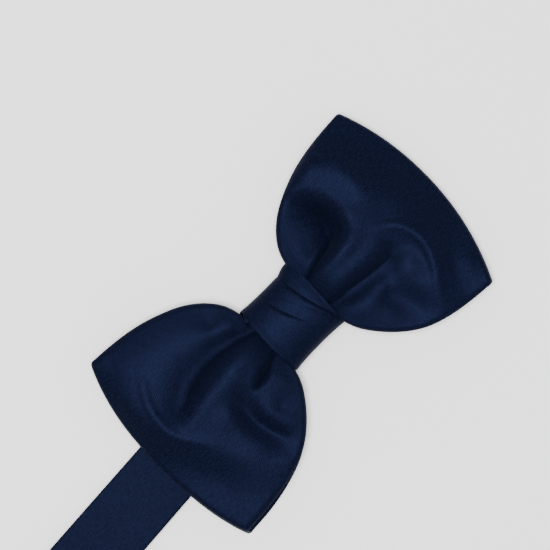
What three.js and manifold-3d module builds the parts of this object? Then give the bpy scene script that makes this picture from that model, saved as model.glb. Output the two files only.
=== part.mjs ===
// Pre-tied satin bow tie on an adjustable neck strap, lying on its back with the strap hooked and
// laid flat behind it. Millimetres, +Z up. The wings spread along X, the front of the bow looks up,
// and the origin is under the middle of the bow, on the face of the strap that meets the collar.
import * as THREE from "three";
import Module from "manifold-3d";
import { mergeVertices } from "three/addons/utils/BufferGeometryUtils.js";

// ---- Driving dimensions ----
// The curve of each wing's folded end: how far it reaches, where across the wing its crown is, and how
// far and how soon its corners fall back from the crown.
const RIGHT_END = { reach: 59.9, crown: 0.12, pull: 7, power: 2.1 };
const LEFT_END = { reach: 60.5, crown: -0.1, pull: 5.6, power: 2.5 };
const WING_Y = -0.6; // the wings' middle line, once clear of the knot
const WAIST_HALF = 10; // half the width of the bow where the knot binds it
const SHOULDER_HALF = 14.4; // half the width just outside the knot
const FLARE = 21.4; // what the wing gains between the shoulder and its end
const FLARE_LENGTH = 12.3; // how soon it gains it
const BOW_THICKNESS = 1.5; // the flattened satin tube of the bow, with its interlining
const REAR_Z = 4.7; // middle of the rear leaf of the wings near the knot
const REAR_END_Z = 6.2; // and at the folded end
const FRONT_END_Z = 9.4; // middle of the front leaf at the folded end
const END_RADIUS = 1.6; // middle radius of the fold at a wing's end
const DOME = 5.2; // how far the front leaf stands up behind the shoulder

const KNOT_LENGTH = 21.6;
const KNOT_Y = 1.2; // the knot sits a little above the middle of the wings
const KNOT_BACK_Z = 1.4;
const KNOT_FRONT_Z = 12.25;
const KNOT_HALF = 12.15;

const STRAP_WIDTH = 22.2;
const STRAP_THICKNESS = 1;
const STRAP_HALF_IN_KNOT = 9.8; // the strap is drawn in where the knot binds it
const LOWER_RUN_Z = 0.5; // middle of the run that lies on the table
const UPPER_RUN_Z = 3.15; // middle of the run that goes through the knot
const RIGHT_FOLD = 40; // where the strap turns back behind the right wing
const LEFT_FOLD = -206; // where it turns back at the far end

const SKEW = 0.0629; // slope of the strap's line against the bow's, beyond the wing
const SKEW_OFFSET = -1.46; // where that line would cross the middle of the bow
const SKEW_FROM = -8; // the strap starts to drift off the knot's line here
const SKEW_TO = -55; // and runs straight from here on

const METAL = 0.9; // sheet that the hook and the eye are pressed from
const CLASP_Z = 3.325; // middle of the hook and the eye
const CLASP_HALF = 13.2; // half the width of the hook, the eye and the slide
const SLOT_HALF = 11.7; // half the length of the slots that the strap goes through
const BAR = 1.5; // width of the bars that the strap goes round
const EYE_BAR = -118; // the bar of the eye, along the strap
const HOOK_BAR = -141;
const SLIDE_BAR = -168;
const SLIDE_BAR_Z = 2.75;
const HOOK_LOOP_RADIUS = 1.675; // middle radius of the strap's turn round the hook's bar
const OUTER_RUN_Z = CLASP_Z + HOOK_LOOP_RADIUS; // the run that goes through the slide
const RETURN_Z = CLASP_Z - HOOK_LOOP_RADIUS; // the run that comes back to the slide
const RETURN_FROM = -143;
const RETURN_TO = -155;
const GAP = 0.3; // where two stretches of the strap meet end to end

const SATIN_WALL = 0.25; // satin of the strap
const STRAP_LINING = 0.3; // interlining of the strap
const BOW_WALL = 0.3;
const BOW_LINING = 0.35;

// ---- Materials ----
const finish = (color, roughness, metalness) => {
  return new THREE.MeshStandardMaterial({ color, roughness, metalness });
};
const satin = finish(0x14213f, 0.42, 0);
const interlining = finish(0xd9d6cc, 0.95, 0);
const thread = finish(0x101a33, 0.7, 0);
const nickel = finish(0xb9bbbd, 0.28, 1);

const object = new THREE.Group();
const add = (name, geometry, material, parent = object) => {
  const mesh = new THREE.Mesh(geometry, material);
  mesh.name = name;
  parent.add(mesh);
  return mesh;
};

// ---- Solids made of rings of points ----
const smoothstep = (from, to, x) => {
  const t = THREE.MathUtils.clamp((x - from) / (to - from), 0, 1);
  return t * t * (3 - 2 * t);
};

// A closed body through rings that all have the same number of points. cap says how its two ends
// close: a "sheet" is filled between its two faces, and a "tube" joins its outer ring to its inner one.
// With cap "none" the last ring joins the first.
function solidOfRings(rings, cap, innerRings) {
  const points = [];
  const faces = [];
  const put = (ring) => ring.map((p) => points.push(p) - 1);
  const quad = (a, b, c, d) => faces.push([a, b, c], [a, c, d]);
  const skin = (indexed, outward) => {
    const n = indexed[0].length;
    const rows = cap === "none" ? indexed.length : indexed.length - 1;
    for (let i = 0; i < rows; i++) {
      const here = indexed[i];
      const next = indexed[(i + 1) % indexed.length];
      for (let j = 0; j < n; j++) {
        const k = (j + 1) % n;
        if (outward) quad(here[j], here[k], next[k], next[j]);
        else quad(here[j], next[j], next[k], here[k]);
      }
    }
  };
  const outer = rings.map(put);
  skin(outer, true);
  const n = outer[0].length;
  const ends = [
    [outer[0], false],
    [outer[outer.length - 1], true],
  ];
  if (cap === "sheet") {
    for (const [ring, last] of ends) {
      for (let j = 0; j < n / 2 - 1; j++) {
        const [a, b, c, d] = [ring[j], ring[j + 1], ring[n - 2 - j], ring[n - 1 - j]];
        if (last) quad(a, b, c, d);
        else quad(d, c, b, a);
      }
    }
  }
  if (cap === "tube") {
    const inner = innerRings.map(put);
    skin(inner, false);
    const innerEnds = [inner[0], inner[inner.length - 1]];
    ends.forEach(([ring, last], e) => {
      for (let j = 0; j < n; j++) {
        const k = (j + 1) % n;
        const [a, b, c, d] = [ring[j], ring[k], innerEnds[e][k], innerEnds[e][j]];
        if (last) quad(a, b, c, d);
        else quad(d, c, b, a);
      }
    });
  }
  let volume = 0;
  for (const [a, b, c] of faces) {
    volume += points[a].dot(points[b].clone().cross(points[c]));
  }
  if (volume < 0) faces.forEach((face) => face.reverse());
  const geometry = new THREE.BufferGeometry().setFromPoints(points);
  geometry.setIndex(faces.flat());
  geometry.computeVertexNormals();
  return geometry;
}

// A ring round one station of a flat band: up one face and back down the other. inset keeps it that
// far inside the band's side edges. place(w, offset) is the point w across the band and offset above it.
function bandRing(station, columns, inset, halfThickness) {
  const edge = station.half - inset;
  const across = columns.map((v) => THREE.MathUtils.clamp(v * station.half, -edge, edge));
  return [
    ...across.map((w) => station.place(w, halfThickness)),
    ...across.reverse().map((w) => station.place(w, -halfThickness)),
  ];
}

// The satin of a band is a flattened tube, open at its two ends, and its interlining is a strip inside.
function satinTube(stations, columns, thickness, wall) {
  const outer = stations.map((s) => bandRing(s, columns, 0, thickness / 2));
  const inner = stations.map((s) => bandRing(s, columns, 2 * wall, thickness / 2 - wall));
  return solidOfRings(outer, "tube", inner);
}

function liningStrip(stations, columns, wall, thickness) {
  const rings = stations.map((s) => bandRing(s, columns, 3.5 * wall, thickness / 2));
  return solidOfRings(rings, "sheet");
}

// ---- Bow: one band of satin, folded into the left and right loop, its ends meeting behind the knot ----
const KNOT_EDGE = KNOT_LENGTH / 2 + 0.3;
const STATIONS_X = [0.4, 4, KNOT_EDGE, 12.2, 14, 17, 21, 27, 34, 42, 50];
const FOLD_STEPS = 5;
const COLUMNS = 10;
const WAIST_FRONT_Z = 9.2;
const WAIST_SIDE_Z = 7;
const WAIST_REAR_Z = 5.4;
const EDGE_Z = 6.6; // middle of the front leaf along its side edges

const bowColumns = Array.from({ length: COLUMNS + 1 }, (_, j) => (2 * j) / COLUMNS - 1);

const halfHeight = (x) => {
  if (x <= KNOT_EDGE) return WAIST_HALF;
  const out = x - KNOT_EDGE;
  const shoulder = SHOULDER_HALF - (SHOULDER_HALF - WAIST_HALF) * Math.exp(-out / 0.8);
  return shoulder + FLARE * (1 - Math.exp(-out / FLARE_LENGTH));
};
const endX = (end, v) => end.reach - END_RADIUS - end.pull * Math.abs(v - end.crown) ** end.power;
const bowY = (x) => THREE.MathUtils.lerp(KNOT_Y, WING_Y, smoothstep(KNOT_EDGE, 30, x));

const END_FROM = 26; // the leaves start to lift towards the folded end here
const END_TO = 57;

const frontZ = (x, v) => {
  const away = smoothstep(KNOT_EDGE - 1, 20, x);
  const home = 1 - smoothstep(22, END_TO, x);
  const end = smoothstep(END_FROM, END_TO, x);
  const middle = THREE.MathUtils.lerp(WAIST_FRONT_Z + DOME * away * home, FRONT_END_Z, end);
  const shoulder = THREE.MathUtils.lerp(WAIST_SIDE_Z, EDGE_Z, away);
  const side = THREE.MathUtils.lerp(shoulder, FRONT_END_Z, end);
  const depth = (0.45 + 0.9 * away * home * home) * (1 - smoothstep(20, 44, x));
  const pleats = depth * Math.cos(2.5 * Math.PI * v) * (1 - v ** 4);
  return side + (middle - side) * (1 - Math.abs(v) ** 2.5) + pleats;
};
const rearZ = (x) => {
  const nearKnot = THREE.MathUtils.lerp(WAIST_REAR_Z, REAR_Z, smoothstep(KNOT_EDGE, 20, x));
  return THREE.MathUtils.lerp(nearKnot, REAR_END_Z, smoothstep(END_FROM, END_TO, x));
};

// The middle of the cloth. q runs 0..1 out along the rear leaf, 1..2 round the end and 2..3 back along
// the front leaf; v is -1..1 across the band.
function bowPoint(side, q, v) {
  const end = side > 0 ? RIGHT_END : LEFT_END;
  const reach = endX(end, v);
  const crownReach = endX(end, end.crown);
  const places = [...STATIONS_X, crownReach];
  const placeOut = (share) => {
    const i = Math.min(Math.floor(share * STATIONS_X.length), STATIONS_X.length - 1);
    const x = THREE.MathUtils.lerp(places[i], places[i + 1], share * STATIONS_X.length - i);
    if (x <= KNOT_EDGE) return x;
    return KNOT_EDGE + ((x - KNOT_EDGE) * (reach - KNOT_EDGE)) / (crownReach - KNOT_EDGE);
  };
  const low = rearZ(reach);
  const high = frontZ(reach, v);
  let x, z;
  if (q <= 1) {
    x = placeOut(q);
    z = rearZ(x);
  } else if (q >= 2) {
    x = placeOut(3 - q);
    z = frontZ(x, v);
  } else {
    const turn = (q - 1) * Math.PI;
    x = reach + END_RADIUS * Math.sin(turn);
    z = (low + high) / 2 - ((high - low) / 2) * Math.cos(turn);
  }
  const y = bowY(x) + v * halfHeight(Math.min(x, reach));
  return new THREE.Vector3(side * x, y, z);
}

function bowStation(side, q) {
  const half = bowPoint(side, q, 1).distanceTo(bowPoint(side, q, -1)) / 2;
  return {
    half,
    place(w, offset) {
      const v = w / half;
      const step = 0.01;
      const [q0, q1] = [Math.max(q - step, 0), Math.min(q + step, 3)];
      const alongBand = bowPoint(side, q1, v).sub(bowPoint(side, q0, v));
      const acrossBand = bowPoint(side, q, v + step).sub(bowPoint(side, q, v - step));
      const normal = alongBand.cross(acrossBand).normalize().multiplyScalar(side);
      return bowPoint(side, q, v).addScaledVector(normal, offset);
    },
  };
}

function bowStations() {
  const steps = STATIONS_X.length;
  const qs = [];
  for (let i = 0; i <= steps; i++) qs.push(i / steps);
  for (let i = 1; i < FOLD_STEPS; i++) qs.push(1 + i / FOLD_STEPS);
  for (let i = 0; i < steps; i++) qs.push(2 + i / steps);
  const right = qs.map((q) => bowStation(1, q));
  const left = qs.map((q) => bowStation(-1, q)).reverse();
  return [...right, ...left];
}

const bow = bowStations();
add("bow_satin", satinTube(bow, bowColumns, BOW_THICKNESS, BOW_WALL), satin);
add("bow_interlining", liningStrip(bow, bowColumns, BOW_WALL, BOW_LINING), interlining);

// ---- Knot: thread round the pleated waist, then the knot's interlining and satin round that ----
// A rounded oblong in the YZ plane, as points with the direction that faces out of it.
function oblong(centre, halfY, halfZ, frontCorner, backCorner, cornerSteps = 5) {
  const outline = [];
  const corners = [
    [1, 1, frontCorner],
    [-1, 1, frontCorner],
    [-1, -1, backCorner],
    [1, -1, backCorner],
  ];
  corners.forEach(([sy, sz, corner], i) => {
    for (let k = 0; k <= cornerSteps; k++) {
      const angle = ((i + k / cornerSteps) * Math.PI) / 2;
      const out = new THREE.Vector3(0, Math.cos(angle), Math.sin(angle));
      const pivot = new THREE.Vector3(0, sy * (halfY - corner), sz * (halfZ - corner));
      outline.push({ at: pivot.addScaledVector(out, corner).add(centre), out });
    }
  });
  return outline;
}

// A band round an oblong. section lists [x, height above the oblong, pleat, lean]: the pleat's extra
// height fades towards the back, and so does the lean of its fold across the front.
function wrap(outline, section) {
  const rings = outline.map(({ at, out }) =>
    section.map(([x, height, pleat = 0, lean = 0]) => {
      const front = (1 + out.z) / 2;
      const shift = (lean * Math.min(2 * front, 1) * (at.y - KNOT_Y)) / KNOT_HALF;
      return at
        .clone()
        .addScaledVector(out, height + pleat * front)
        .setX(x + shift);
    }),
  );
  return solidOfRings(rings, "none");
}

const THREAD_WRAP = 0.3;
const KNOT_LINING = 0.4;
const KNOT_SATIN = 0.6;
const PLEAT = 0.4;
const knotInside = KNOT_HALF - KNOT_SATIN;
const knotHalfZ = (KNOT_FRONT_Z - KNOT_BACK_Z) / 2;
const knotCentre = new THREE.Vector3(0, KNOT_Y, (KNOT_FRONT_Z + KNOT_BACK_Z) / 2);

const satinSection = [
  [-KNOT_LENGTH / 2, 0],
  [-KNOT_LENGTH / 2, KNOT_SATIN, PLEAT],
  [0.7, KNOT_SATIN, PLEAT, -5],
  [1.2, KNOT_SATIN, 0.1, -5],
  [1.7, KNOT_SATIN, PLEAT, -5],
  [6.8, KNOT_SATIN, PLEAT, -2.6],
  [7.2, KNOT_SATIN, 0, -2.6],
  [KNOT_LENGTH / 2, KNOT_SATIN],
  [KNOT_LENGTH / 2, 0],
];
const knotOutline = oblong(knotCentre, knotInside, knotHalfZ - KNOT_SATIN, 4.2, 1.5);
add("knot_satin", wrap(knotOutline, satinSection), satin);

const liningHalf = KNOT_LENGTH / 2 - 0.8;
const liningInset = KNOT_SATIN + 0.1 + KNOT_LINING;
const liningSection = [
  [-liningHalf, 0],
  [-liningHalf, KNOT_LINING],
  [liningHalf, KNOT_LINING],
  [liningHalf, 0],
];
const liningHalfY = KNOT_HALF - liningInset;
const liningOutline = oblong(knotCentre, liningHalfY, knotHalfZ - liningInset, 3.6, 1);
add("knot_interlining", wrap(liningOutline, liningSection), interlining);

const WAIST_THREAD_HALF = 3;
const waistThreadSection = [
  [-WAIST_THREAD_HALF, 0],
  [-WAIST_THREAD_HALF, THREAD_WRAP],
  [WAIST_THREAD_HALF, THREAD_WRAP],
  [WAIST_THREAD_HALF, 0],
];
const waistCentre = new THREE.Vector3(0, KNOT_Y, 7.35);
const waistOutline = oblong(waistCentre, WAIST_HALF + 0.45, 3.15, 3, 0.8);
add("waist_thread", wrap(waistOutline, waistThreadSection), thread);

// Slip stitches that close the knot behind: a thread that zigzags across the seam.
function stitchRow(from, to, width, turns, thickness) {
  const along = to.clone().sub(from);
  const sideways = new THREE.Vector3(-along.y, along.x, 0).normalize();
  const points = [];
  for (let i = 0; i <= turns; i++) {
    const swing = (i % 2 ? 0.5 : -0.5) * width;
    points.push(from.clone().addScaledVector(along, i / turns).addScaledVector(sideways, swing));
  }
  const half = thickness / 2;
  const rings = points.map((p, i) => {
    const ahead = points[Math.min(i + 1, turns)].clone().sub(points[Math.max(i - 1, 0)]);
    const across = new THREE.Vector3(-ahead.y, ahead.x, 0).normalize().multiplyScalar(half * 1.6);
    const corner = (s, t) => p.clone().addScaledVector(across, s).add(new THREE.Vector3(0, 0, t));
    return [corner(-1, -half), corner(1, -half), corner(1, half), corner(-1, half)];
  });
  return solidOfRings(rings, "sheet");
}

const knotSeamZ = (STRAP_THICKNESS + KNOT_BACK_Z) / 2;
const knotSeam = [
  new THREE.Vector3(-KNOT_LENGTH / 2 + 1, KNOT_Y - 5, knotSeamZ),
  new THREE.Vector3(KNOT_LENGTH / 2 - 1, KNOT_Y - 5, knotSeamZ),
];
add("knot_stitches", stitchRow(...knotSeam, 1.8, 18, 0.25), thread);

// ---- Neck strap ----
// The strap's line seen from above: straight through the knot, then drifting to a straight skew line.
const skewAngle = Math.atan(SKEW);
const skewStart = new THREE.Vector3(SKEW_TO, SKEW_OFFSET + SKEW * SKEW_TO, 0);

function planOf(a) {
  if (a <= SKEW_TO) {
    const run = a - SKEW_TO;
    const at = new THREE.Vector3(Math.cos(skewAngle), Math.sin(skewAngle), 0);
    return { at: at.multiplyScalar(run).add(skewStart), angle: skewAngle };
  }
  const yAt = (x) => {
    const share = smoothstep(SKEW_FROM, SKEW_TO, x);
    return KNOT_Y * (1 - share) + share * (SKEW_OFFSET + SKEW * x);
  };
  const slope = (yAt(a + 0.1) - yAt(a - 0.1)) / 0.2;
  return { at: new THREE.Vector3(a, yAt(a), 0), angle: Math.atan(slope) };
}

// The strap's path as [a, z] points: a along the strap's line, z up.
const ARC_STEPS = 8;
const RUN_STEP = 9; // longest stretch between two stations where the strap bends in plan
const arc = (a, z, radius, fromDegrees, toDegrees) => {
  const points = [];
  for (let i = 0; i <= ARC_STEPS; i++) {
    const degrees = THREE.MathUtils.lerp(fromDegrees, toDegrees, i / ARC_STEPS);
    const angle = THREE.MathUtils.degToRad(degrees);
    points.push([a + radius * Math.cos(angle), z + radius * Math.sin(angle)]);
  }
  return points;
};

function strapStations(path) {
  const fine = [path[0]];
  for (let i = 1; i < path.length; i++) {
    const [[a0, z0], [a1, z1]] = [path[i - 1], path[i]];
    const bends = Math.max(a0, a1) > SKEW_TO;
    const pieces = bends ? Math.ceil(Math.abs(a1 - a0) / RUN_STEP) : 1;
    for (let k = 1; k <= pieces; k++) {
      fine.push([a0 + ((a1 - a0) * k) / pieces, z0 + ((z1 - z0) * k) / pieces]);
    }
  }
  return fine.map(([a, z], i) => {
    const before = fine[Math.max(i - 1, 0)];
    const after = fine[Math.min(i + 1, fine.length - 1)];
    const plan = planOf(a);
    const forward = new THREE.Vector3(Math.cos(plan.angle), Math.sin(plan.angle), 0);
    const side = new THREE.Vector3(-forward.y, forward.x, 0);
    const [da, dz] = [after[0] - before[0], after[1] - before[1]];
    const length = Math.hypot(da, dz);
    const up = forward.clone().multiplyScalar(-dz / length).setZ(da / length);
    const inKnot = Math.abs(z - UPPER_RUN_Z) < 0.01 ? 1 - smoothstep(11, 24, Math.abs(a)) : 0;
    return {
      half: THREE.MathUtils.lerp(STRAP_WIDTH / 2, STRAP_HALF_IN_KNOT, inKnot),
      place(w, offset) {
        const middle = plan.at.clone().setZ(z);
        return middle.addScaledVector(side, w).addScaledVector(up, offset);
      },
    };
  });
}

const strapColumns = [-1, 1];
function strapPiece(name, path) {
  const stations = strapStations(path);
  const cover = satinTube(stations, strapColumns, STRAP_THICKNESS, SATIN_WALL);
  add(`${name}_satin`, cover, satin);
  const strip = liningStrip(stations, strapColumns, SATIN_WALL, STRAP_LINING);
  add(`${name}_interlining`, strip, interlining);
}

const EYE_LOOP_RADIUS = 1.4;
const EYE_TAIL_END = -106;
const rightRadius = (UPPER_RUN_Z - LOWER_RUN_Z) / 2;
const leftRadius = (OUTER_RUN_Z - LOWER_RUN_Z) / 2;
strapPiece("strap", [
  [EYE_TAIL_END, CLASP_Z - EYE_LOOP_RADIUS],
  ...arc(EYE_BAR - 0.5, CLASP_Z, EYE_LOOP_RADIUS, -90, -270),
  [EYE_BAR + 7, UPPER_RUN_Z],
  [SKEW_TO, UPPER_RUN_Z],
  [RIGHT_FOLD / 2, UPPER_RUN_Z],
  ...arc(RIGHT_FOLD, LOWER_RUN_Z + rightRadius, rightRadius, 90, -90),
  [SKEW_TO, LOWER_RUN_Z],
  ...arc(LEFT_FOLD, LOWER_RUN_Z + leftRadius, leftRadius, -90, -270),
  ...arc(HOOK_BAR + 0.5, CLASP_Z, HOOK_LOOP_RADIUS, 90, -90),
  [RETURN_FROM, RETURN_Z],
]);
strapPiece("strap_return", [
  [RETURN_FROM - GAP, RETURN_Z],
  [RETURN_TO, RETURN_Z],
]);

const TAIL_LOOP_RADIUS = SLIDE_BAR_Z - RETURN_Z;
const TAIL_TOP_Z = RETURN_Z + STRAP_THICKNESS + 0.15;
const TAIL_END = -157;
strapPiece("strap_tail", [
  [RETURN_TO - GAP, RETURN_Z],
  ...arc(SLIDE_BAR - 0.5, SLIDE_BAR_Z, TAIL_LOOP_RADIUS, -90, -270),
  [SLIDE_BAR + BAR, SLIDE_BAR_Z + TAIL_LOOP_RADIUS],
  [SLIDE_BAR + 5.5, TAIL_TOP_Z],
  [TAIL_END, TAIL_TOP_Z],
]);

// Rows of stitching that hold the strap's ends round the eye and round the slide.
const clasp = new THREE.Group();
clasp.position.copy(skewStart);
clasp.rotation.z = skewAngle;
object.add(clasp);
const along = (a) => a - SKEW_TO; // a place on the strap, in the clasp group's own X

const STITCH_HALF = 9.6;
const STITCH_THICKNESS = 0.3;
function endStitches(name, a, strapMiddleZ) {
  const z = strapMiddleZ + (STRAP_THICKNESS + STITCH_THICKNESS) / 2 + 0.06;
  const from = new THREE.Vector3(along(a), -STITCH_HALF, z);
  const to = new THREE.Vector3(along(a), STITCH_HALF, z);
  add(name, stitchRow(from, to, 1.5, 24, STITCH_THICKNESS), thread, clasp);
}
endStitches("strap_eye_stitches", -109, UPPER_RUN_Z);
endStitches("strap_tail_stitches", -159.5, TAIL_TOP_Z);

// ---- Hook, eye and slide ----
const wasm = await Module();
wasm.setup();

function solidOf(geometry) {
  const bare = geometry.clone();
  bare.deleteAttribute("normal");
  bare.deleteAttribute("uv");
  const merged = mergeVertices(bare, 1e-4);
  const vertProperties = merged.attributes.position.array;
  const triVerts = new Uint32Array(merged.index.array);
  return new wasm.Manifold(new wasm.Mesh({ numProp: 3, vertProperties, triVerts }));
}

function geometryOf(solid) {
  const mesh = solid.getMesh();
  const geometry = new THREE.BufferGeometry();
  geometry.setAttribute("position", new THREE.BufferAttribute(mesh.vertProperties, 3));
  geometry.setIndex(new THREE.BufferAttribute(mesh.triVerts, 1));
  const flat = geometry.toNonIndexed();
  flat.computeVertexNormals();
  return flat;
}

const join = (...geometries) => {
  return geometryOf(geometries.map(solidOf).reduce((all, one) => all.add(one)));
};

// A symmetrical plate from the points of its upper half, [a, w], with oblong slots [from, to, half].
function plate(upper, slots, z, thickness) {
  const outline = upper.map(([a, w]) => new THREE.Vector2(along(a), w));
  const mirrored = [...outline].reverse().map((p) => new THREE.Vector2(p.x, -p.y));
  const shape = new THREE.Shape([...outline, ...mirrored]);
  for (const [from, to, half] of slots) {
    const radius = 0.7;
    const [x0, x1] = [along(from), along(to)];
    const hole = new THREE.Path();
    hole.absarc(x1 - radius, half - radius, radius, 0, Math.PI / 2);
    hole.absarc(x0 + radius, half - radius, radius, Math.PI / 2, Math.PI);
    hole.absarc(x0 + radius, radius - half, radius, Math.PI, 1.5 * Math.PI);
    hole.absarc(x1 - radius, radius - half, radius, 1.5 * Math.PI, 2 * Math.PI);
    shape.holes.push(hole);
  }
  const options = { depth: thickness, bevelEnabled: false, curveSegments: 4 };
  return new THREE.ExtrudeGeometry(shape, options).translate(0, 0, z - thickness / 2);
}

const CATCH_HALF = 5.5;
const eyeOutline = [
  [EYE_BAR + BAR / 2, CLASP_HALF - 0.8],
  [EYE_BAR + BAR / 2 - 0.8, CLASP_HALF],
  [EYE_BAR - 4.2, CLASP_HALF],
  [EYE_BAR - 6.6, CLASP_HALF - 2],
  [EYE_BAR - 11, 8.4],
  [EYE_BAR - 12.6, 6.8],
];
const eyeSlots = [
  [EYE_BAR - 3.9, EYE_BAR - BAR / 2, SLOT_HALF],
  [EYE_BAR - 10.4, EYE_BAR - 6.4, CATCH_HALF],
];
add("clasp_eye", plate(eyeOutline, eyeSlots, CLASP_Z, METAL), nickel, clasp);

const TONGUE_HALF = 4;
const TONGUE_Z = CLASP_Z + METAL / 2 + 0.12; // underside of the tongue, over the eye
const LIP = HOOK_BAR + 13.7; // outer face of the lip that drops into the eye
const LIP_TIP_Z = 2;
const hookOutline = [
  [HOOK_BAR + 9, TONGUE_HALF],
  [HOOK_BAR + 7.6, 6.4],
  [HOOK_BAR + 4.8, CLASP_HALF - 2.6],
  [HOOK_BAR + 3.4, CLASP_HALF],
  [HOOK_BAR - BAR / 2 + 0.8, CLASP_HALF],
  [HOOK_BAR - BAR / 2, CLASP_HALF - 0.8],
].reverse();
const hookSlots = [[HOOK_BAR + BAR / 2, HOOK_BAR + 4.2, SLOT_HALF]];

// The tongue is a bent strip: [a, z] along its underside and back along its top.
function tongue() {
  const under = CLASP_Z - METAL / 2;
  const profile = [
    [HOOK_BAR + 7.4, under],
    [HOOK_BAR + 8.9, under],
    [HOOK_BAR + 9.9, TONGUE_Z],
    [LIP - METAL, TONGUE_Z],
    [LIP - METAL, LIP_TIP_Z],
    [LIP, LIP_TIP_Z],
    [LIP, TONGUE_Z + METAL - 0.4],
    [LIP - 0.4, TONGUE_Z + METAL],
    [HOOK_BAR + 9.5, TONGUE_Z + METAL],
    [HOOK_BAR + 8.4, CLASP_Z + METAL / 2],
    [HOOK_BAR + 7.4, CLASP_Z + METAL / 2],
  ];
  const shape = new THREE.Shape(profile.map(([a, z]) => new THREE.Vector2(along(a), z)));
  const strip = new THREE.ExtrudeGeometry(shape, { depth: 2 * TONGUE_HALF, bevelEnabled: false });
  return strip.rotateX(Math.PI / 2).translate(0, TONGUE_HALF, 0);
}
const hookPlate = plate(hookOutline, hookSlots, CLASP_Z, METAL);
add("clasp_hook", join(hookPlate, tongue()), nickel, clasp);

// The slide: the outer run passes under its two upper bars and over its lower middle bar.
function slide() {
  const half = 6.5;
  const rail = 1.6;
  const top = OUTER_RUN_Z + STRAP_THICKNESS / 2 + 0.15 + METAL;
  const bottom = SLIDE_BAR_Z - METAL / 2;
  const box = (a0, a1, w0, w1, z0, z1) => {
    const block = new THREE.BoxGeometry(a1 - a0, w1 - w0, z1 - z0);
    return block.translate(along((a0 + a1) / 2), (w0 + w1) / 2, (z0 + z1) / 2);
  };
  const [left, right] = [SLIDE_BAR - half, SLIDE_BAR + half];
  const span = CLASP_HALF - 0.1;
  return join(
    box(left, right, CLASP_HALF - rail, CLASP_HALF, bottom, top),
    box(left, right, -CLASP_HALF, rail - CLASP_HALF, bottom, top),
    box(left, left + 2, -span, span, top - METAL, top),
    box(right - 2, right, -span, span, top - METAL, top),
    box(SLIDE_BAR - BAR / 2, SLIDE_BAR + BAR / 2, -span, span, bottom, bottom + METAL),
  );
}
add("slide_adjuster", slide(), nickel, clasp);

export default object;
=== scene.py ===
"""A pre-tied navy satin bow tie, lying face up on its closed neck strap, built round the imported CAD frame.

Lengths in this script are millimetres in the row's own frame, and become metres when a mesh is made.
"""

import math

import bpy
import numpy as np
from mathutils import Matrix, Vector


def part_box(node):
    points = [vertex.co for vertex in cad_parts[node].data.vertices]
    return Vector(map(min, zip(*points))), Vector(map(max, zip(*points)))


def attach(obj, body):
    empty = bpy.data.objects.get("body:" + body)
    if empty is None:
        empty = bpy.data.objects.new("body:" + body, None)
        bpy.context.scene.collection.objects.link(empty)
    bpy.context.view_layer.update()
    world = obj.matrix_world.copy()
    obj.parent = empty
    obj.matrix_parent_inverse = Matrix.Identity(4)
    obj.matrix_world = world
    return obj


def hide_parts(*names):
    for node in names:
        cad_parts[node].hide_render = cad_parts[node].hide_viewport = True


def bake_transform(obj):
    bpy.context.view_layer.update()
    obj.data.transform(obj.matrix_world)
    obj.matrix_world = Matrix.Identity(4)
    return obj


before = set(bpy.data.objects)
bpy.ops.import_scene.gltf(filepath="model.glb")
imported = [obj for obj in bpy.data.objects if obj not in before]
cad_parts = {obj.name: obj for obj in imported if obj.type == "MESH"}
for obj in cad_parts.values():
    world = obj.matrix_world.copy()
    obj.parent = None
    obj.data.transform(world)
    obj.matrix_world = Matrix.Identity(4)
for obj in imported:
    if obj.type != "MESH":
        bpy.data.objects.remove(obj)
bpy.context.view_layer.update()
MM = 0.001

# ---- The frame's own measures ----


def box_mm(node):
    low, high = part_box(node)
    return np.array(low) / MM, np.array(high) / MM


knot_low, knot_high = box_mm("knot_satin")
bow_low, _ = box_mm("bow_satin")

KNOT_HALF_LENGTH = knot_high[0]
KNOT_Y = (knot_low[1] + knot_high[1]) / 2
KNOT_HALF = (knot_high[1] - knot_low[1]) / 2

# ---- Small tools ----


def smoothstep(start, end, x):
    t = np.clip((np.asarray(x, float) - start) / (end - start), 0, 1)
    return t * t * (3 - 2 * t)


def unit(v):
    return v / np.maximum(np.linalg.norm(v, axis=-1, keepdims=True), 1e-12)


def spline_through(points, step):
    """Points about step apart on a Catmull-Rom curve through points."""
    p = np.array(points, float)
    p = np.vstack([2 * p[0] - p[1], p, 2 * p[-1] - p[-2]])
    out = []
    for a, b, c, d in zip(p[:-3], p[1:-2], p[2:-1], p[3:]):
        count = max(1, round(float(np.linalg.norm((c - b)[:2])) / step))
        t = (np.arange(count) / count)[:, None]
        out.append(
            0.5 * (2 * b + (c - a) * t + (2 * a - 5 * b + 4 * c - d) * t**2)
            + 0.5 * (3 * b - a - 3 * c + d) * t**3
        )
    return np.vstack([*out, p[-2:-1]])


def new_object(name, vertices, faces, material, uvs=None, smooth=True):
    mesh = bpy.data.meshes.new(name)
    mesh.from_pydata((np.asarray(vertices) * MM).tolist(), [], faces)
    if uvs is not None:
        layer = mesh.uv_layers.new(name=CLOTH_UV)
        loops = np.zeros(len(mesh.loops), np.int32)
        mesh.loops.foreach_get("vertex_index", loops)
        layer.data.foreach_set("uv", np.asarray(uvs, np.float32)[loops].ravel())
    if smooth:
        mesh.polygons.foreach_set("use_smooth", [True] * len(mesh.polygons))
    mesh.materials.append(material)
    mesh.validate()
    mesh.update()
    obj = bpy.data.objects.new(name, mesh)
    bpy.context.scene.collection.objects.link(obj)
    return obj


CLOTH_UV = "cloth"

# ---- Materials ----


def new_material(name):
    material = bpy.data.materials.new(name)
    material.use_nodes = True
    nodes = material.node_tree.nodes
    return material, material.node_tree, nodes["Principled BSDF"]


def set_inputs(node, **values):
    for key, value in values.items():
        node.inputs[key.replace("_", " ")].default_value = value


WAVE_TURN = math.pi / 10  # the wave texture's scale for one band to a unit


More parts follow.
